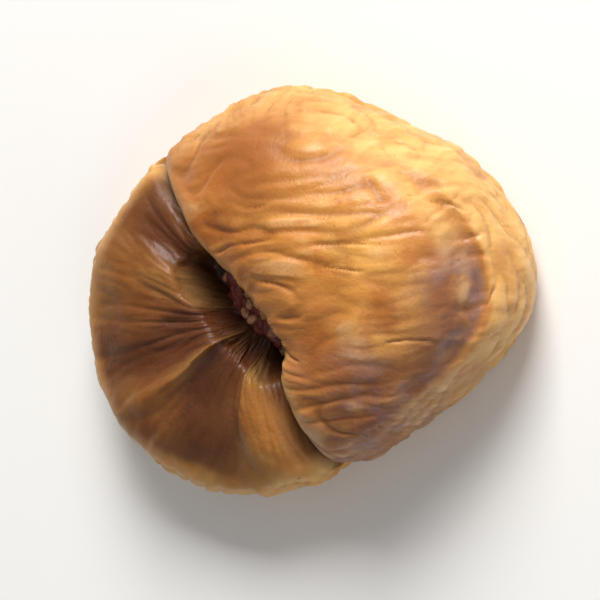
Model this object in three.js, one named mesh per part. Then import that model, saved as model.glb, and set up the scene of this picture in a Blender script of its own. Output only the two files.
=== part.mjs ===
// A dried fig, pressed flat between its stem and its eye, as strung and stacked figs are. It lies on its
// stem side. One long fold crosses the top, past the eye, which is a sunken split beside it. The fold
// parts a tall, domed lobe from a lower one that is gathered into pleats and thins out to its edge. Round
// the tall lobe the rim of the fig stands as a soft roll of its own.
// Millimetres, +Z up, +X along the longest way across. The origin is under the middle, on the surface.
import * as THREE from "three";

// Driving dimensions.
const LENGTH = 53; // longest way across, along X
const WIDTH = 46; // across, along Y
const HEIGHT = 19; // to the top of the tall lobe
const EYE = new THREE.Vector2(-3.8, -3); // where the eye lies in the top
const STEM = new THREE.Vector2(2, 1.5); // where the stem end lies in the underside

// The tall lobe: the middle of its dome, how far the dome reaches, the share of its height that it loses
// over that reach, and how far from the fold it takes to round up.
const DOME = { x: 7, y: 3, reach: 19, fall: 0.22, shoulder: 5 };

// The low lobe: its height above mid height at the eye and at the edge, as a share of the tall lobe's,
// and its pleats: how many would go all the way round, the angle of one in degrees, and their depth.
const LOW = { atEye: 0.66, atEdge: 0.42, pleats: 8, pleatAngle: -96, pleatDepth: 1 };

// The sunken split: where it starts and ends, how wide it is either way from its middle, and its depth.
const SPLIT = {
  from: new THREE.Vector3(-2, -5.6, 0),
  to: new THREE.Vector3(-8.8, 1.4, 0),
  width: 2.8,
  depth: 5.5,
};

// The fold cuts this deep and this wide either way, and notches the edge this far where it meets it.
const CREASE = { depth: 1.6, width: 1.8, notch: 1, notchWidth: 2.4 };

// The groove that parts the rim's roll from the dome: its middle and half its spread in degrees, how far
// out it lies, half its width as a share of the way out, and its depth.
const GROOVE = { middle: 8, spread: 32, out: 0.885, width: 0.045, depth: 1.4 };

// How far the edge lies from the middle, at every 30 degrees round from +X.
const EDGE_REACH = [26.3, 25, 21.5, 22.5, 22, 23.5, 26.5, 28.2, 26.5, 22.3, 20, 21.7];
const EDGE = new THREE.CatmullRomCurve3(
  EDGE_REACH.map((reach) => new THREE.Vector3(reach, 0, 0)),
  true,
  "catmullrom",
);

// The line of the fold, from edge to edge with the tall lobe on its right, in short straight pieces.
const FOLD_PIECES = 60;
const FOLD = new THREE.CatmullRomCurve3(
  [
    [7, -26],
    [5.4, -19.5],
    [3, -14.5],
    [1.4, -9.5],
    [1.2, -4.8],
    [-3, 0.4],
    [-8, 5],
    [-14.5, 12],
    [-20, 20],
  ].map(([x, y]) => new THREE.Vector3(x, y, 0)),
  false,
  "catmullrom",
)
  .getPoints(FOLD_PIECES)
  .map((point, i, all) => new THREE.Line3(all[Math.max(i - 1, 0)], point))
  .slice(1);

// Half of the upright section, from the eye over the top and the edge to the stem end: x is the share of
// the way out from the eye or stem to the edge, and y the share of the height.
const SECTION = new THREE.SplineCurve(
  [
    [0, 1],
    [0.08, 1],
    [0.16, 1],
    [0.25, 1],
    [0.36, 1],
    [0.5, 1],
    [0.63, 0.985],
    [0.75, 0.94],
    [0.86, 0.84],
    [0.94, 0.7],
    [0.985, 0.53],
    [1, 0.36],
    [0.99, 0.2],
    [0.95, 0.07],
    [0.88, 0],
    [0.8, -0.02],
    [0.54, -0.03],
    [0.32, -0.01],
    [0.2, 0.05],
    [0.1, 0.09],
    [0, 0.1],
  ].map(([x, y]) => new THREE.Vector2(x, y)),
);
const SECTION_STEPS = 54;
const ROUND_STEPS = 96;
const MID_HEIGHT = 0.36; // where the section is widest, as a share of the height
const FADE = 4; // folds, pleats and grooves fade out over the last 4 mm above mid height

const { degToRad, euclideanModulo, lerp, smoothstep } = THREE.MathUtils;

// 1 on the middle of a ridge or groove, falling smoothly to 0 on both sides.
const bump = (distance, width) => Math.exp(-((distance / width) ** 2));

// How far a point lies from a straight piece of line.
const awayFrom = (piece, point) =>
  piece.closestPointToPoint(point, true, new THREE.Vector3()).distanceTo(point);

// How far a point lies from the fold: above 0 on the tall lobe's side and below 0 on the low one's.
function pastFold(point) {
  const nearer = (best, piece) => (awayFrom(piece, point) < awayFrom(best, point) ? piece : best);
  const nearest = FOLD.reduce(nearer);
  const along = nearest.delta(new THREE.Vector3());
  const side = along.cross(point.clone().sub(nearest.start)).z;
  return -Math.sign(side) * awayFrom(nearest, point);
}

// How far the edge lies from the middle at an angle, notched where the fold meets it.
function edgeReach(angle) {
  const whole = EDGE.getPoint(euclideanModulo(angle, 2 * Math.PI) / (2 * Math.PI)).x;
  const point = new THREE.Vector3(whole * Math.cos(angle), whole * Math.sin(angle), 0);
  return whole - CREASE.notch * bump(pastFold(point), CREASE.notchWidth);
}

// The height of a point of the top. On the tall lobe the skin rounds up from the fold to a dome, and on
// the low one it falls to the edge, in pleats.
function topHeight(point, angle, out, above) {
  const past = pastFold(point);
  const rise = smoothstep(past, -CREASE.width / 2, DOME.shoulder);
  const fromDome = Math.hypot(point.x - DOME.x, point.y - DOME.y) / DOME.reach;
  const dome = 1 - DOME.fall * fromDome ** 2;
  const low = lerp(LOW.atEye, LOW.atEdge, out);
  const gather = (1 - Math.cos(LOW.pleats * (angle - degToRad(LOW.pleatAngle)))) / 2;
  const pleats = LOW.pleatDepth * gather * smoothstep(out, 0.05, 0.25) * (1 - out);
  const split = SPLIT.depth * bump(awayFrom(new THREE.Line3(SPLIT.from, SPLIT.to), point), SPLIT.width);
  const crease = CREASE.depth * bump(past, CREASE.width);
  const turnFrom = euclideanModulo(angle - degToRad(GROOVE.middle) + Math.PI, 2 * Math.PI) - Math.PI;
  const along = bump(turnFrom, degToRad(GROOVE.spread));
  const groove = GROOVE.depth * along * bump(out - GROOVE.out, GROOVE.width);
  const cut = (1 - rise) * (pleats + split + crease) + groove;
  return Math.max(above * lerp(low, dome, rise) - cut * Math.min(above / FADE, 1), 0);
}

// Moves one point of the round section to where the fig has it.
function place(angle, out, share, onTop) {
  const centre = onTop ? EYE : STEM;
  const reach = out * edgeReach(angle);
  const x = centre.x * (1 - out) + reach * Math.cos(angle);
  const y = centre.y * (1 - out) + reach * Math.sin(angle);
  if (!onTop || share <= MID_HEIGHT) return [x, y, Math.max(share * HEIGHT, 0)];
  const middle = MID_HEIGHT * HEIGHT;
  return [x, y, middle + topHeight(new THREE.Vector3(x, y, 0), angle, out, share * HEIGHT - middle)];
}

// The whole fig: the section is spun, and then each point is moved.
function figGeometry() {
  const section = SECTION.getPoints(SECTION_STEPS);
  for (const end of [section[0], section.at(-1)]) end.x = 0;
  const widest = section.reduce((best, p, i) => (p.x > section[best].x ? i : best), 0);
  const geometry = new THREE.LatheGeometry(section, ROUND_STEPS);
  const position = geometry.getAttribute("position");
  for (let i = 0; i < position.count; i++) {
    const row = i % section.length;
    const step = Math.floor(i / section.length) % ROUND_STEPS;
    const angle = (-step / ROUND_STEPS) * 2 * Math.PI;
    position.setXYZ(i, ...place(angle, section[row].x, section[row].y, row <= widest));
  }
  geometry.deleteAttribute("normal");
  geometry.deleteAttribute("uv");
  geometry.computeBoundingBox();
  const size = geometry.boundingBox.getSize(new THREE.Vector3());
  const middle = geometry.boundingBox.getCenter(new THREE.Vector3());
  geometry.translate(-middle.x, -middle.y, 0);
  geometry.scale(LENGTH / size.x, WIDTH / size.y, HEIGHT / size.z);
  geometry.computeVertexNormals();
  return geometry;
}

const skin = new THREE.MeshStandardMaterial({ color: 0xc98f45, roughness: 0.55, metalness: 0 });
const fig = new THREE.Mesh(figGeometry(), skin);
fig.name = "dried_fig";

const part = new THREE.Group();
part.add(fig);
export default part;
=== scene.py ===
"""A dried fig, pressed flat between its stem and its eye. Its skin is one sculpted shell, and in the split
beside the long fold a little of the flesh shows, with its seeds. Metres; the sculpting is in millimetres."""

import math
import random

import bmesh
import bpy
import numpy as np
from bpy.props import FloatProperty, FloatVectorProperty, IntProperty, PointerProperty
from mathutils import Matrix, Vector, noise


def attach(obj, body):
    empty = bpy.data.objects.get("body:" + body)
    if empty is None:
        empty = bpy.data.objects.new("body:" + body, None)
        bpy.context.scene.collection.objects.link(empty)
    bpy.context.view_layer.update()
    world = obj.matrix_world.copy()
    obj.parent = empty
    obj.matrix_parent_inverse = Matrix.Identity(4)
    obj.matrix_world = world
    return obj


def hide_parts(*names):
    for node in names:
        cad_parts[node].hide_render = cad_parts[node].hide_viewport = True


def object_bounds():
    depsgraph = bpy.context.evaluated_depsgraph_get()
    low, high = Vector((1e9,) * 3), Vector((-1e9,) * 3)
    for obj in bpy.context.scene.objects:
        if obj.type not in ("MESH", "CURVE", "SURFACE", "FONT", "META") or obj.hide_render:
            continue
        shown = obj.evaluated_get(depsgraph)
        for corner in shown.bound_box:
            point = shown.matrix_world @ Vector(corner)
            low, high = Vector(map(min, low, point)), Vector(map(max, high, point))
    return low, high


bl_info = {
    "name": "Dried Fig",
    "version": (1, 0, 0),
    "blender": (4, 5, 0),
    "location": "3D View > Sidebar > Fig",
    "description": "Models a sun-dried fig, pressed flat, with its fold, its split eye and its wrinkles",
    "category": "Object",
}

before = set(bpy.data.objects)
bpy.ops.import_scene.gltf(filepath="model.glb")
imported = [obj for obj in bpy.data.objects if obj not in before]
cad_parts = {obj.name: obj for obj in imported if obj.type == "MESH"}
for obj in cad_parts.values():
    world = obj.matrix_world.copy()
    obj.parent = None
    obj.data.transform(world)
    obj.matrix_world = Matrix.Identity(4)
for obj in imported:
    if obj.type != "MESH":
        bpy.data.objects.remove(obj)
CAD_BOX = [list(corner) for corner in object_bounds()]
FIG_NODE = "dried_fig"
MM = 0.001
LENGTHS = ("shoulder", "overhang", "split_depth", "split_width", "pleat_depth", "groove_depth", "ripple_depth",
           "crease_depth")

# The form of the fig, in millimetres and degrees, as its plain solid has it.
MID_HEIGHT = 0.36  # where the section is widest, as a share of the height
EYE = (-3.8, -3.0)
STEM = (2.0, 1.5)
EDGE_REACH = (26.3, 25.0, 21.5, 22.5, 22.0, 23.5, 26.5, 28.2, 26.5, 22.3, 20.0, 21.7)  # every 30 degrees
FOLD_LINE = ((7, -26), (5.4, -19.5), (3, -14.5), (1.4, -9.5), (1.2, -4.8), (-3, 0.4), (-8, 5), (-14.5, 12),
             (-20, 20))
SPLIT_LINE = ((-2.0, -5.6), (-8.8, 1.4))
TOP_SECTION = ((0, 1), (0.36, 1), (0.5, 1), (0.63, 0.985), (0.75, 0.94), (0.86, 0.84), (0.94, 0.7),
               (0.985, 0.53), (1, 0.36))
UNDER_SECTION = ((1, 0.36), (0.99, 0.2), (0.95, 0.07), (0.88, 0), (0.8, -0.02), (0.54, -0.03), (0.32, -0.01),
                 (0.2, 0.05), (0.1, 0.09), (0, 0.1))
FADE = 4.0  # folds and pleats fade out over the last 4 mm above mid height


# ---------------------------------------------------------------- settings

def linear(code):
    """An sRGB hex colour, such as "#C58A3E", as linear red, green, blue and alpha."""
    parts = [int(code[i:i + 2], 16) / 255 for i in (1, 3, 5)]
    return tuple(p / 12.92 if p <= 0.04045 else ((p + 0.055) / 1.055) ** 2.4 for p in parts) + (1.0,)


def length(name, description, millimetres):
    """A setting that is a length."""
    return FloatProperty(name=name, description=description, default=millimetres * MM, min=0.0,
                         subtype="DISTANCE", unit="LENGTH", precision=5)


def colour(name, description, code):
    """A setting that is a colour."""
    return FloatVectorProperty(name=name, description=description, default=linear(code), size=4, min=0.0,
                               max=1.0, subtype="COLOR")


class FigSizes(bpy.types.PropertyGroup):
    """Sizes of the fig's folds and wrinkles"""
    steps_round: IntProperty(name="Steps Round", description="Vertices in each ring of the skin", default=512,
                             min=64)
    steps_over: IntProperty(name="Steps Over", description="Rings of the skin from the eye to the stem",
                            default=188, min=32)
    dome_fall: FloatProperty(name="Dome Fall", description="Share of its height that the dome loses to its foot",
                             default=0.24, min=0.0, max=1.0, subtype="FACTOR")
    shoulder: length("Shoulder", "How far from the fold the tall lobe takes to round up", 5.0)
    overhang: length("Overhang", "How far the tall lobe leans over the fold", 1.2)
    split_depth: length("Split Depth", "Depth of the split beside the fold", 7.0)
    split_width: length("Split Width", "Half the width of the split", 2.9)
    pleat_depth: length("Pleat Depth", "Depth of the gathers of the low lobe", 2.1)
    groove_depth: length("Groove Depth", "Depth of the groove inside the rim's roll", 1.7)
    ripple_depth: length("Ripple Depth", "Depth of the ripples on the dome", 0.36)
    crease_depth: length("Crease Depth", "Depth of the creases up the rim", 0.42)
    seeds: IntProperty(name="Seeds", description="Seeds in the split", default=26, min=0)


class FigColours(bpy.types.PropertyGroup):
    """Colours of the skin, the flesh, the seeds and the stage"""
    amber: colour("Amber", "The dome's deeper tone", "#CF8A3C")
    honey: colour("Honey", "The dome's lighter tone", "#E2A552")
    tan: colour("Tan", "Patches where the skin dried darker", "#B3661F")
    # Painted shade: this russet darkens the dome beside the fold and at its upper left.
    painted_shade_russet: colour("Russet", "The dome beside the fold", "#96501C")
    straw: colour("Straw", "The rim", "#E2B26A")
    # The low lobe's brown: partly its own colour, partly painted shade.
    brown_and_shade: colour("Brown", "The low lobe", "#4F220B")
    # Bruise colours that also paint shade on the foot of the dome, the side turned from the key light.
    bruise_and_shade_brown: colour("Bruise Brown", "The foot of the dome", "#7D4E35")
    bruise_and_shade_grey: colour("Bruise Grey", "Greyer patches at the foot of the dome", "#7A5F60")
    streak: colour("Streak", "Fine streaks along the ripples", "#A9662C")
    # Painted shade in the wrinkle valleys.
    valley_shade: colour("Valley", "Valleys between the wrinkles", "#8A4C1C")
    # Painted highlight on the wrinkle ridges.
    ridge_highlight: colour("Bloom", "Dry bloom on the ridges", "#F2D09C")
    # Painted shade in the fold and the split.
    crevice_shade: colour("Crevice", "The fold and the split", "#2E1109")
    fleck: colour("Fleck", "Small flecks", "#7A4420")
    flesh_dark: colour("Dark Flesh", "The flesh where it is thick", "#3A0D0E")
    flesh_light: colour("Light Flesh", "The flesh where it is thin", "#A04A40")
    seed_dark: colour("Dark Seed", "The seeds' deeper tone", "#7A3B22")
    seed_light: colour("Light Seed", "The seeds' lighter tone", "#CF9C6E")
    floor: colour("Floor", "The floor", "#EDEBE7")


# ---------------------------------------------------------------- form

def lerp(a, b, t):
    return a + (b - a) * t


def smooth(x, low, high):
    """0 below low, 1 above high, and an even curve between them."""
    t = np.clip((x - low) / (high - low), 0, 1)
    return t * t * (3 - 2 * t)


def bump(distance, width):
    """1 on the middle of a ridge or groove, falling smoothly to 0 on both sides."""
    return np.exp(-((distance / width) ** 2))


def turn(a, b):
    """The angle from b to a, between -pi and pi."""
    return (a - b + math.pi) % (2 * math.pi) - math.pi


def catmull(points, steps, closed=False):
    """Points along a smooth curve through the given ones."""
    p = np.array(points, float)
    n = len(p) if closed else len(p) - 1
    t = np.linspace(0, n, steps, endpoint=not closed)
    i = np.minimum(t.astype(int), n - 1)
    w = (t - i)[:, None]
    pick = (lambda k: p[k % len(p)]) if closed else (lambda k: p[np.clip(k, 0, len(p) - 1)])
    a, b, c, d = pick(i - 1), pick(i), pick(i + 1), pick(i + 2)
    return 0.5 * (2 * b + (c - a) * w + (2 * a - 5 * b + 4 * c - d) * w ** 2 + (3 * b - a - 3 * c + d) * w ** 3)


def line_distance(x, y, line):
    """How far each point lies from a bent line, with a plus on its right and a minus on its left."""
    line = np.array(line, float)
    best = np.full(x.shape, 1e9)
    for a, b in zip(line[:-1], line[1:]):
        along = b - a
        t = np.clip(((x - a[0]) * along[0] + (y - a[1]) * along[1]) / (along @ along), 0, 1)
        dx, dy = x - a[0] - t * along[0], y - a[1] - t * along[1]
        away = np.hypot(dx, dy)
        side = np.where(along[0] * (y - a[1]) - along[1] * (x - a[0]) > 0, -1.0, 1.0)
        best = np.where(away < np.abs(best), side * away, best)
    return best


def grain(x, y, z, seed=0.0):
    """Smooth noise between about -1 and 1 at each point."""
    points = np.stack([x + 17.3 * seed, y - 9.1 * seed, z + 5.7 * seed], axis=-1).tolist()
    return np.fromiter((noise.noise(p) for p in points), float, len(points))


def ridges(field, sharp=1.0):
    """Turns noise into rounded ridges with narrow valleys: 0 in a valley and about 1 on a ridge."""
    return np.clip(np.abs(field) * 2.6, 0, 1) ** (0.75 * sharp)


def section_table(rows):
    """How far out and how high each ring of the skin lies, as shares, from the eye to the stem. Rings lie
    closest where the skin is wrinkled, and further apart underneath."""
    over = catmull(TOP_SECTION, 400)
    under = catmull(UNDER_SECTION, 300)
    curve = np.vstack([over, under[1:]])
    step = np.hypot(np.diff(curve[:, 0]) * 25, np.diff(curve[:, 1]) * 19)
    out = (curve[1:, 0] + curve[:-1, 0]) / 2
    on_top = np.arange(len(step)) < len(over)
    density = np.where(on_top, np.where(out < 0.4, 1.5, 1.0), np.where(out > 0.93, 0.8, 0.4))
    length = np.concatenate([[0], np.cumsum(step * density)])
    at = np.linspace(0, length[-1], rows)
    table = np.stack([np.interp(at, length, curve[:, 0]), np.interp(at, length, curve[:, 1])], axis=-1)
    return table, int(np.searchsorted(at, length[len(over) - 1]))


class Form:
    """Where each vertex of the skin lies, and what the wrinkles and colours there depend on."""

    def __init__(self, vertices, sizes):
        self.sizes = sizes
        self.mm = {name: getattr(sizes, name) / MM for name in LENGTHS}
        v = np.array(vertices)
        rings = sizes.steps_over
        table, widest = section_table(rings + 1)
        row = np.clip(np.round(np.arccos(np.clip(v[:, 2], -1, 1)) / math.pi * rings).astype(int), 0, rings)
        self.angle = np.arctan2(v[:, 1], v[:, 0])
        self.out, self.share = table[row, 0], table[row, 1]
        self.top = row <= widest
        self.rim = smooth(self.out, 0.84, 0.97)
        edge = catmull([(r,) for r in EDGE_REACH], 720, closed=True)[:, 0]
        at = self.angle % (2 * math.pi) / (2 * math.pi) * 720
        self.reach = np.interp(at, np.arange(721), np.append(edge, edge[0]))
        self.fold = catmull(FOLD_LINE, 90)
        past = line_distance(self.reach * np.cos(self.angle), self.reach * np.sin(self.angle), self.fold)
        self.reach = self.reach - 1.3 * bump(past, 1.8)
        centre = np.where(self.top[:, None], EYE, STEM)
        self.x = centre[:, 0] * (1 - self.out) + self.out * self.reach * np.cos(self.angle)
        self.y = centre[:, 1] * (1 - self.out) + self.out * self.reach * np.sin(self.angle)
        self.past = line_distance(self.x, self.y, self.fold)
        self.from_split = np.abs(line_distance(self.x, self.y, SPLIT_LINE))
        self.spoke = np.stack([np.cos(self.angle), np.sin(self.angle)], axis=-1)
        self.heights()

    def heights(self):
        """The height of each vertex, and the lean of the tall lobe over the fold."""
        mm, x, y, out = self.mm, self.x, self.y, self.out
        self.height = (CAD_BOX[1][2] - CAD_BOX[0][2]) / MM
        mid = MID_HEIGHT * self.height
        above = np.maximum(self.share - MID_HEIGHT, 0) * self.height
        wander = 0.5 * grain(x / 5, y / 5, 0 * x, 3)
        past = self.past + wander
        rise = np.sqrt(1 - (1 - np.clip(past / mm["shoulder"], 0, 1)) ** 2)
        self.tall = smooth(past, -0.6, 1.4)
        dome = 1 - self.sizes.dome_fall * ((x - 7) ** 2 + (y - 3) ** 2) / 19 ** 2
        low = lerp(0.66, 0.4, out)
        sway = 0.25 * grain(self.spoke[:, 0] * 3, self.spoke[:, 1] * 3, out * 2, 5)
        gather = (1 - np.cos(8 * (self.angle + math.radians(96) + sway))) / 2
        pleats = mm["pleat_depth"] * gather ** 0.8 * smooth(out, 0.05, 0.22) * (1 - out) ** 0.5
        self.gather = gather * smooth(out, 0.05, 0.22) * (1 - out) ** 0.6 * (1 - self.tall)
        split = mm["split_depth"] * np.exp(-((self.from_split / mm["split_width"]) ** 3))
        crease = 1.8 * bump(past, 1.5)
        along = bump(turn(self.angle, math.radians(7)), math.radians(31))
        groove = mm["groove_depth"] * along * bump(out - 0.885, 0.036)
        self.groove = along * bump(out - 0.885, 0.02)
        self.roll = np.sqrt(along) * smooth(out, 0.885, 0.92)
        cut = (1 - rise) * (pleats + split + crease) + groove
        foot = 1.5 * rise * bump(turn(self.angle, math.radians(-48)), math.radians(24)) * bump(out - 0.9, 0.08)
        z = mid + np.maximum(above * lerp(low, dome, rise) - (cut - foot) * np.minimum(above / FADE, 1), 0)
        self.z = np.where(self.top & (self.share > MID_HEIGHT), z, np.maximum(self.share * self.height, 0))
        lean = mm["overhang"] * bump(past - 1.3, 1.6) * smooth(above, 0.5, 5) * self.top
        away = self.direction_off_fold()
        self.x = x - lean * away[0]
        self.y = y - lean * away[1]
        nub = 1.6 * (1 - smooth(out, 0.06, 0.1)) * ~self.top
        self.z = self.z - nub

    def direction_off_fold(self):
        """The direction that leads away from the fold, on the tall lobe's side."""
        step = 0.05
        dx = line_distance(self.x + step, self.y, self.fold) - self.past
        dy = line_distance(self.x, self.y + step, self.fold) - self.past
        length = np.maximum(np.hypot(dx, dy), 1e-6)
        return dx / length, dy / length

    def points(self):
        return np.stack([self.x, self.y, self.z], axis=-1)

    def wrinkles(self, p, normal):
        """How far the skin stands out at each vertex, in millimetres, and how deep in a wrinkle it lies."""
        mm = self.mm
        x, y, z = p[:, 0], p[:, 1], p[:, 2]
        upward = np.clip(normal[:, 2], 0, 1)
        under = (~self.top) & (self.share < 0.12)
        dome = self.tall * smooth(upward, 0.25, 0.75) * self.top
        low = (1 - self.tall) * (1 - self.rim) * self.top
        side = 1 - smooth(np.abs(normal[:, 2]), 0.35, 0.85)

        lumps = 0.6 * grain(x / 9, y / 9, z / 9, 1) + 0.25 * grain(x / 4.5, y / 4.5, z / 4.5, 2)

        bend = 1.6 * grain(x / 9, y / 9, z / 9, 7)
        across = y - 0.12 * x + bend
        ripple_a = ridges(grain(x / 9.5, across / 2.3, z / 9, 11), 1.3)
        ripple_b = ridges(grain(x / 5.5, across / 1.3, z / 6, 12), 1.3)
        patch = smooth(grain(x / 7, y / 7, z / 7, 13), -0.35, 0.35) * (1 - 0.6 * smooth(x, 10, 20))
        ripple = mm["ripple_depth"] * (ripple_a * (0.3 + 0.7 * patch) + 0.3 * ripple_b)

        line = grain(x / 13, across / 4.2, z / 9, 14)
        slits = bump(line, 0.05) * smooth(grain(x / 6, y / 6, z / 6, 16), -0.05, 0.25) * dome

        ring = 24.0
        tilt = 0.12 * grain(self.spoke[:, 0] * 4, self.spoke[:, 1] * 4, z / 6, 21)
        cx, cy = np.cos(self.angle + tilt) * ring, np.sin(self.angle + tilt) * ring
        rise_a = ridges(grain(cx / 1.9, cy / 1.9, z / 11 + self.out * 2, 22))
        rise_b = ridges(grain(cx / 1.05, cy / 1.05, z / 7 + self.out * 3, 23))
        strong = smooth(grain(cx / 6, cy / 6, z / 12, 24), -0.4, 0.5)
        rim = mm["crease_depth"] * (rise_a * (0.4 + 0.6 * strong) + 0.45 * rise_b)

        fan_a = ridges(grain(self.spoke[:, 0] * 9, self.spoke[:, 1] * 9, self.out * 2.2, 31))
        fan_b = ridges(grain(self.spoke[:, 0] * 17, self.spoke[:, 1] * 17, self.out * 5, 32))
        near = smooth(self.out, 0.04, 0.2)
        fan = 0.24 * near * (fan_a + 0.5 * fan_b)

        band = grain(self.spoke[:, 0] * 5, self.spoke[:, 1] * 5, z / 2.6, 41)
        girdle = 0.35 * ridges(band) * side

        crepe = 0.03 * ridges(grain(x / 0.75, y / 0.75, z / 0.75, 51))

        weight_side = np.clip(side + 0.35 * self.rim, 0, 1) * (1 - 0.6 * self.roll)
        rest = 1 - weight_side
        relief = (ripple * dome * rest + fan * low * rest + rim * weight_side + girdle + crepe)
        most = (mm["ripple_depth"] * 1.4 * dome * rest + 0.36 * low * rest + mm["crease_depth"] * 1.45 * weight_side
                + 0.35 * side + 0.03)
        calm = 1 - 0.8 * bump(self.past - 0.6, 1.2) * self.top
        out = (relief - most - 0.3 * slits) * calm
        stem_lines = ridges(grain(self.spoke[:, 0] * 7, self.spoke[:, 1] * 7, self.out * 2.4, 61))
        pressed = ridges(grain(x / 3.2, y / 3.2, self.out * 2, 62), 0.7)
        inside = np.minimum(0.25 * lumps, 0) - 0.55 * (1 - 0.5 * stem_lines - 0.5 * pressed)
        out = np.where(under, inside, out + lumps)
        hollow = np.maximum(np.clip(1 - relief / np.maximum(most, 0.05), 0, 1), slits)
        return out, np.where(under, 1 - 0.5 * stem_lines - 0.5 * pressed, hollow)


def fit_to_box(p):
    """Moves and scales the points so that the skin fills the plain solid's box."""
    low, high = np.array(CAD_BOX[0]) / MM, np.array(CAD_BOX[1]) / MM
    size = p.max(0) - p.min(0)
    return low + (p - p.min(0)) * (high - low) / size


def store(mesh, name, values):
    """Keeps one number for each vertex in the mesh, for its material."""
    data = mesh.attributes.new(name, "FLOAT", "POINT").data
    data.foreach_set("value", np.clip(values, 0, 1).astype(np.float32))


def mesh_object(name, bm):
    mesh = bpy.data.meshes.new(name)
    bm.to_mesh(mesh)
    bm.free()
    mesh.shade_smooth()
    piece = bpy.data.objects.new(name, mesh)
    bpy.context.scene.collection.objects.link(piece)
    return piece


# ---------------------------------------------------------------- materials

def add(tree, kind, links=(), **settings):
    """Adds a node. Settings name its properties, or its inputs by name or number; links are pairs of an
    input and the socket that feeds it."""
    node = tree.nodes.new(kind)
    for key, value in settings.items():
        if hasattr(node, key):
            setattr(node, key, value)
        else:
            node.inputs[key.replace("_", " ")].default_value = value
    for target, source in links:
        tree.links.new(source, node.inputs[target])
    return node


def new_material(name):
    material = bpy.data.materials.new(name)
    material.use_nodes = True
    material.node_tree.nodes.clear()
    return material, material.node_tree


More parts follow.
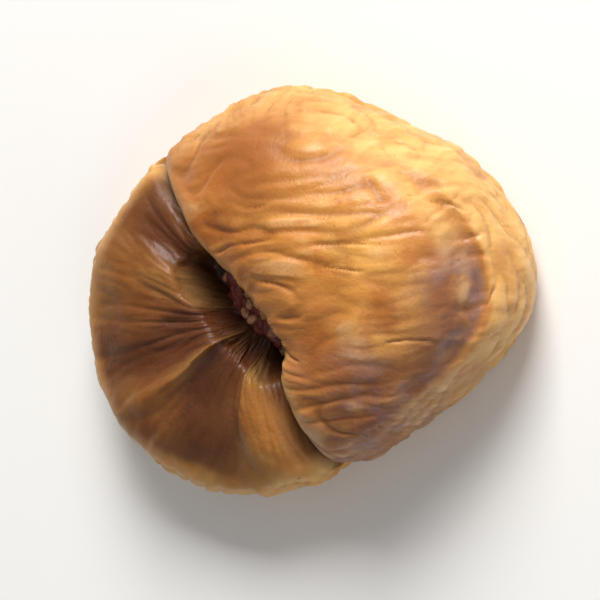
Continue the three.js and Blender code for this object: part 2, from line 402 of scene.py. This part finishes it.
def skin_material(colours):
    """Sun-dried fig skin: tanned, leathery and a little waxy. Straw where it was pressed against its
    neighbours, amber and half clear where it is thin over the flesh, and brown on the low lobe. Painted shade
    darkens the low lobe's gathers, the wrinkle valleys, the fold, the split and the dome beside the fold; the
    foot of the dome is grey-purple, partly bruise and partly painted shade; a painted highlight lies on its ridges."""
    material, tree = new_material("sun_dried_fig_skin")
    place = add(tree, "ShaderNodeTexCoord").outputs["Object"]
    mm = add(tree, "ShaderNodeMapping", [("Vector", place)], Scale=(1000, 1000, 1000)).outputs["Vector"]

    def attribute(name):
        return add(tree, "ShaderNodeAttribute", attribute_name=name).outputs["Fac"]

    def pattern(size, detail=3.0, rough=0.55, stretch=None, seed=0.0):
        vector = mm
        if stretch:
            vector = add(tree, "ShaderNodeMapping", [("Vector", mm)], Scale=stretch).outputs["Vector"]
        return add(tree, "ShaderNodeTexNoise", [("Vector", vector)], noise_dimensions="4D", W=seed,
                   Scale=1 / size, Detail=detail, Roughness=rough).outputs["Fac"]

    def span(value, low, high, start=0.0, end=1.0):
        node = add(tree, "ShaderNodeMapRange", [("Value", value)], interpolation_type="SMOOTHSTEP")
        for key, number in (("From Min", low), ("From Max", high), ("To Min", start), ("To Max", end)):
            node.inputs[key].default_value = number
        return node.outputs["Result"]

    def times(a, b):
        node = add(tree, "ShaderNodeMath", [(0, a)], operation="MULTIPLY", use_clamp=True)
        if isinstance(b, float):
            node.inputs[1].default_value = b
        else:
            tree.links.new(b, node.inputs[1])
        return node.outputs[0]

    def mixed(below, above, amount, way="MIX"):
        node = add(tree, "ShaderNodeMix", data_type="RGBA", blend_type=way, clamp_factor=True)
        for slot, tone in ((6, below), (7, above)):
            if isinstance(tone, bpy.types.NodeSocket):
                tree.links.new(tone, node.inputs[slot])
            else:
                node.inputs[slot].default_value = tone
        if isinstance(amount, float):
            node.inputs[0].default_value = amount
        else:
            tree.links.new(amount, node.inputs[0])
        return node.outputs[2]

    hollow, rim, low = attribute("hollow"), attribute("rim"), attribute("low")
    bruise_and_shade, fold, painted_shade_russet = attribute("bruise_and_shade"), attribute("fold"), attribute("painted_shade_russet")

    tone = mixed(colours.amber, colours.honey, span(pattern(7.0, seed=1.0), 0.4, 0.62))
    tone = mixed(tone, colours.tan, times(span(pattern(5.0, 4.0, seed=2.0), 0.47, 0.66), 0.75))
    # Painted shade: a russet tone over the dome beside the fold and at its upper left.
    tone = mixed(tone, colours.painted_shade_russet, times(painted_shade_russet, 0.85))
    tone = mixed(tone, colours.straw, times(rim, 0.85))
    # The low lobe's brown is partly its own colour and partly painted shade, deepest in its gathers.
    tone = mixed(tone, colours.brown_and_shade, times(low, 0.95))
    # Bruise colour and painted shade: grey-purple brown over the foot of the dome, the side turned from the key light.
    bruise_and_shade_tone = mixed(colours.bruise_and_shade_brown, colours.bruise_and_shade_grey, span(pattern(4.5, 3.0, seed=9.0), 0.42, 0.62))
    patchy = times(bruise_and_shade, span(pattern(3.5, 4.0, 0.65, seed=3.0), 0.25, 0.6, 0.6, 1.0))
    tone = mixed(tone, bruise_and_shade_tone, patchy)
    not_low = span(low, 0.3, 0.0)
    streaks = times(span(pattern(1.1, 2.0, stretch=(0.16, 1.0, 0.5), seed=4.0), 0.4, 0.7), not_low)
    tone = mixed(tone, colours.streak, times(streaks, 0.4))
    # Painted shade in the wrinkle valleys, off the low lobe.
    tone = mixed(tone, colours.valley_shade, times(times(span(hollow, 0.5, 1.0), 0.55), not_low))
    # Painted highlight on the wrinkle ridges, off the low lobe.
    tone = mixed(tone, colours.ridge_highlight, times(times(span(hollow, 0.4, 0.0), not_low), 0.34))
    # Painted shade along the fold and across the split.
    tone = mixed(tone, colours.crevice_shade, times(fold, 0.92))
    tone = mixed(tone, colours.fleck, times(span(pattern(0.8, 2.0, seed=5.0), 0.68, 0.76), 0.4))

    fine = add(tree, "ShaderNodeTexNoise", [("Vector", mm)], Scale=1 / 0.35, Detail=3.0, Roughness=0.6)
    crackle = add(tree, "ShaderNodeTexVoronoi", [("Vector", mm)], feature="DISTANCE_TO_EDGE", Scale=1 / 0.6)
    bump_a = add(tree, "ShaderNodeBump", [("Height", fine.outputs["Fac"])], Strength=0.3, Distance=0.00008)
    bump_b = add(tree, "ShaderNodeBump", [("Height", span(crackle.outputs["Distance"], 0.0, 0.25)),
                                          ("Normal", bump_a.outputs[0])], Strength=0.2, Distance=0.00006)
    rough = span(pattern(2.5, 3.0, seed=6.0), 0.3, 0.7, 0.38, 0.54)
    shader = add(tree, "ShaderNodeBsdfPrincipled",
                 [("Base Color", tone), ("Roughness", rough), ("Normal", bump_b.outputs[0])],
                 IOR=1.45)
    shader.inputs["Subsurface Weight"].default_value = 0.2
    shader.inputs["Subsurface Radius"].default_value = (1.0, 0.45, 0.18)
    shader.inputs["Subsurface Scale"].default_value = 0.0012
    shader.inputs["Specular IOR Level"].default_value = 0.4
    shader.inputs["Coat Weight"].default_value = 0.1
    shader.inputs["Coat Roughness"].default_value = 0.3
    add(tree, "ShaderNodeOutputMaterial", [("Surface", shader.outputs[0])])
    return material


def flesh_material(colours):
    """Dried fig flesh: sticky, half clear and dark red, so it shines where the skin doesn't."""
    material, tree = new_material("sticky_fig_flesh")
    place = add(tree, "ShaderNodeTexCoord").outputs["Object"]
    soft = add(tree, "ShaderNodeTexNoise", [("Vector", place)], Scale=900.0, Detail=3.0)
    mix = add(tree, "ShaderNodeMix", [(0, soft.outputs["Fac"])], data_type="RGBA")
    mix.inputs[6].default_value = colours.flesh_dark
    mix.inputs[7].default_value = colours.flesh_light
    bump_node = add(tree, "ShaderNodeBump", [("Height", soft.outputs["Fac"])], Strength=0.6, Distance=0.0003)
    shader = add(tree, "ShaderNodeBsdfPrincipled",
                 [("Base Color", mix.outputs[2]), ("Normal", bump_node.outputs[0])], Roughness=0.25, IOR=1.45)
    shader.inputs["Subsurface Weight"].default_value = 0.3
    shader.inputs["Subsurface Radius"].default_value = (1.0, 0.3, 0.2)
    shader.inputs["Subsurface Scale"].default_value = 0.001
    add(tree, "ShaderNodeOutputMaterial", [("Surface", shader.outputs[0])])
    return material


def seed_material(colours):
    """Fig seeds: small, hard and tan, under a film of syrup that makes them glint."""
    material, tree = new_material("syrupy_fig_seed")
    place = add(tree, "ShaderNodeTexCoord").outputs["Object"]
    soft = add(tree, "ShaderNodeTexNoise", [("Vector", place)], Scale=1200.0, Detail=2.0)
    mix = add(tree, "ShaderNodeMix", [(0, soft.outputs["Fac"])], data_type="RGBA")
    mix.inputs[6].default_value = colours.seed_dark
    mix.inputs[7].default_value = colours.seed_light
    shader = add(tree, "ShaderNodeBsdfPrincipled", [("Base Color", mix.outputs[2])], Roughness=0.22, IOR=1.5)
    add(tree, "ShaderNodeOutputMaterial", [("Surface", shader.outputs[0])])
    return material


# ---------------------------------------------------------------- pieces

class FIG_OT_skin(bpy.types.Operator):
    """Models the whole skin of the fig as one closed shell"""
    bl_idname = "fig.skin"
    bl_label = "Fig Skin"

    def execute(self, context):
        sizes = context.scene.fig_sizes
        bm = bmesh.new()
        bmesh.ops.create_uvsphere(bm, u_segments=sizes.steps_round, v_segments=sizes.steps_over, radius=1)
        form = Form([v.co[:] for v in bm.verts], sizes)
        for vertex, point in zip(bm.verts, form.points()):
            vertex.co = point
        near_fold = [v for v, past in zip(bm.verts, form.past) if abs(past) < 4]
        for verts in (bm.verts, *[near_fold] * 6):
            bmesh.ops.smooth_vert(bm, verts=verts, factor=0.5, use_axis_x=True, use_axis_y=True, use_axis_z=True)
        bm.normal_update()
        p = np.array([v.co[:] for v in bm.verts])
        normal = np.array([v.normal[:] for v in bm.verts])
        out, hollow = form.wrinkles(p, normal)
        inner = np.exp(-((form.from_split / 2.6) ** 2)) * (1 - form.tall) * form.top
        p = fit_to_box(p + normal * (out * (1 - 0.7 * inner))[:, None])
        p[:, 2] = np.maximum(p[:, 2], 0)
        for vertex, point in zip(bm.verts, p * MM):
            vertex.co = point
        piece = mesh_object("fig_skin", bm)

        x, y, z = p[:, 0], p[:, 1], p[:, 2]
        uneven = 0.05 * grain(x / 5, y / 5, z / 5, 71)
        edge_low = smooth(form.out + uneven, 0.84, 0.98)
        side = 1 - smooth(np.abs(normal[:, 2]), 0.5, 0.9)
        rim = np.clip(side * 0.9 + form.rim * 0.5, 0, 1) * (1 - 0.6 * form.groove)
        low = (1 - form.tall) * form.top * (1 - 0.75 * edge_low)
        rib = bump(form.past + 5.0, 2.4) * smooth(-y, 7, 14)
        # Painted shade: the low lobe turns browner in the valleys of its gathers.
        low = np.clip(low * (0.74 + 0.6 * form.gather), 0, 1) * (1 - 0.55 * rib)
        stain = smooth(grain(x / 7, y / 7, z / 7, 72), 0.0, 0.5)
        low = np.maximum(low, 0.5 * stain * side * (1 - form.tall))
        low = np.maximum(low, 0.75 * smooth(form.out, 0.3, 0.06) * ~form.top)
        rim = rim * (1 - 0.45 * smooth(grain(x / 4, y / 4, z / 4, 73), -0.05, 0.45))
        # Bruise colour and painted shade along the foot of the dome, the side turned from the key light, fading
        # towards the floor.
        along_foot = np.array([(5, -19), (10, -16.5), (17, -12), (22.5, -5), (23.5, 2)])
        bruise_and_shade = np.maximum(bump(line_distance(x, y, along_foot), 6.0), 0.9 * bump(np.hypot(x - 12, y + 11), 8.0))
        bruise_and_shade = np.clip(1.2 * bruise_and_shade, 0, 1) * form.tall * smooth(z, 1.5, 6) * (1 - 0.9 * form.roll)
        # Painted shade along the fold and across the split.
        fold = np.maximum(bump(form.past + 0.2, 1.0) * form.top * smooth(form.share, 0.36, 0.6) * 0.75,
                          np.exp(-((form.from_split / 3.0) ** 4)) * (1 - form.tall) * form.top)
        # Painted shade beside the tall lobe's lip and at the dome's upper left. It also takes the straw off the rim
        # there.
        by_lip = 0.8 * smooth(form.past, 12.0, 1.0) * smooth(y, -14, 0)
        shade = np.maximum(by_lip, 1.1 * bump(np.hypot(x + 3, y - 15), 9.0))
        # The hollow values carry painted shade into the wrinkle valleys and a painted highlight onto the ridges.
        store(piece.data, "hollow", hollow)
        store(piece.data, "rim", rim * (1 - 0.75 * np.clip(shade * form.tall, 0, 1)))
        store(piece.data, "low", low)
        store(piece.data, "bruise_and_shade", bruise_and_shade)
        store(piece.data, "fold", fold)
        store(piece.data, "painted_shade_russet", form.tall * form.top * shade)
        piece.data.materials.append(skin_material(context.scene.fig_colours))
        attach(piece, "root")
        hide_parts(FIG_NODE)
        return {"FINISHED"}


class FIG_OT_flesh(bpy.types.Operator):
    """Models the flesh and the seeds that show in the split"""
    bl_idname = "fig.flesh"
    bl_label = "Flesh and Seeds"

    def execute(self, context):
        colours = context.scene.fig_colours
        start, end = (Vector((*point, 0)) for point in SPLIT_LINE)
        middle, along = (start + end) / 2, (end - start)
        lie = Matrix.Rotation(math.atan2(along.y, along.x), 4, "Z")
        centre = middle + Vector((0.5, 0.5, 7.0))
        bm = bmesh.new()
        bmesh.ops.create_icosphere(bm, subdivisions=6, radius=1)
        half = Vector((along.length / 2 + 1.2, 2.3, 2.3))
        for v in bm.verts:
            p = Vector([c * h for c, h in zip(v.co, half)])
            lump = 0.55 * noise.noise(p / 1.5) + 0.3 * noise.noise(p / 0.6)
            v.co = p + v.co * lump
        bmesh.ops.transform(bm, matrix=Matrix.Scale(MM, 4) @ Matrix.Translation(centre) @ lie, verts=bm.verts)
        flesh = mesh_object("fig_flesh", bm)
        flesh.data.materials.append(flesh_material(colours))

        draw = random.Random(7)
        bm = bmesh.new()
        for _ in range(context.scene.fig_sizes.seeds):
            t, side = draw.uniform(-0.95, 0.95), draw.uniform(-0.75, 0.75)
            up = math.sqrt(max(1 - t * t - side * side * 0.8, 0.05))
            place = Vector((t * half.x, side * half.y, up * half.z - 0.1))
            seed = bmesh.ops.create_icosphere(bm, subdivisions=3, radius=1)["verts"]
            size = Matrix.Diagonal((0.66, 0.46, 0.4, 1)) * draw.uniform(0.85, 1.1)
            spin = Matrix.Rotation(draw.uniform(0, math.pi), 4, "Z") @ Matrix.Rotation(draw.uniform(-0.5, 0.5), 4, "X")
            size[3][3] = 1
            bmesh.ops.transform(bm, matrix=Matrix.Scale(MM, 4) @ Matrix.Translation(centre) @ lie
                                @ Matrix.Translation(place) @ spin @ size, verts=seed)
        seeds = mesh_object("fig_seeds", bm)
        seeds.data.materials.append(seed_material(colours))
        for piece in (flesh, seeds):
            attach(piece, "root")
        return {"FINISHED"}


class FIG_OT_stage(bpy.types.Operator):
    """Adds the pale floor, the soft light and the camera"""
    bl_idname = "fig.stage"
    bl_label = "Stage"

    def execute(self, context):
        bm = bmesh.new()
        bmesh.ops.create_grid(bm, x_segments=1, y_segments=1, size=1.5)
        floor = mesh_object("floor", bm)
        material, tree = new_material("matt_white_board")
        shader = add(tree, "ShaderNodeBsdfPrincipled", Roughness=0.9)
        shader.inputs["Base Color"].default_value = context.scene.fig_colours.floor
        add(tree, "ShaderNodeOutputMaterial", [("Surface", shader.outputs[0])])
        floor.data.materials.append(material)

        scene = context.scene
        scene.view_settings.view_transform = "Standard"
        world = bpy.data.worlds.new("soft_room")
        world.use_nodes = True
        world.node_tree.nodes["Background"].inputs["Color"].default_value = linear("#F4F4F6")
        world.node_tree.nodes["Background"].inputs["Strength"].default_value = 0.3
        scene.world = world

        target = Vector((0.0, -0.0005, 0.008))
        for name, where, size, watts in (
            ("key", (0.10, 0.66, 0.46), 0.4, 9.6),
            ("fill", (0.55, -0.35, 0.6), 0.6, 1.2),
        ):
            light = bpy.data.lights.new(name, "AREA")
            light.size = size
            light.energy = watts
            lamp = bpy.data.objects.new(name, light)
            lamp.location = where
            lamp.rotation_euler = (target - Vector(where)).to_track_quat("-Z", "Y").to_euler()
            scene.collection.objects.link(lamp)

        turned, raised, far = math.radians(15), math.radians(64), 0.6
        back = Vector((math.cos(raised) * math.cos(turned), math.cos(raised) * math.sin(turned), math.sin(raised)))
        right = Vector((0, 1, 0)).cross(back).normalized()
        up = back.cross(right)
        camera = bpy.data.cameras.new("camera")
        camera.sensor_width = 36
        camera.lens = 36 * far / 0.066
        camera.clip_start = 0.01
        eye = bpy.data.objects.new("camera", camera)
        eye.matrix_world = Matrix.Translation(target + back * far) @ Matrix((right, up, back)).transposed().to_4x4()
        scene.collection.objects.link(eye)
        scene.camera = eye
        return {"FINISHED"}


class FIG_PT_panel(bpy.types.Panel):
    """Lists the pieces of the fig"""
    bl_idname = "FIG_PT_panel"
    bl_label = "Dried Fig"
    bl_space_type = "VIEW_3D"
    bl_region_type = "UI"
    bl_category = "Fig"

    def draw(self, context):
        for step in STEPS:
            self.layout.operator(step.bl_idname)


STEPS = (FIG_OT_skin, FIG_OT_flesh, FIG_OT_stage)
CLASSES = (FigSizes, FigColours, *STEPS, FIG_PT_panel)


def register():
    for cls in CLASSES:
        bpy.utils.register_class(cls)
    bpy.types.Scene.fig_sizes = PointerProperty(type=FigSizes)
    bpy.types.Scene.fig_colours = PointerProperty(type=FigColours)


def unregister():
    del bpy.types.Scene.fig_colours
    del bpy.types.Scene.fig_sizes
    for cls in reversed(CLASSES):
        bpy.utils.unregister_class(cls)


def main():
    register()
    bpy.ops.fig.skin()
    bpy.ops.fig.flesh()
    bpy.ops.fig.stage()


if __name__ == "__main__":
    main()
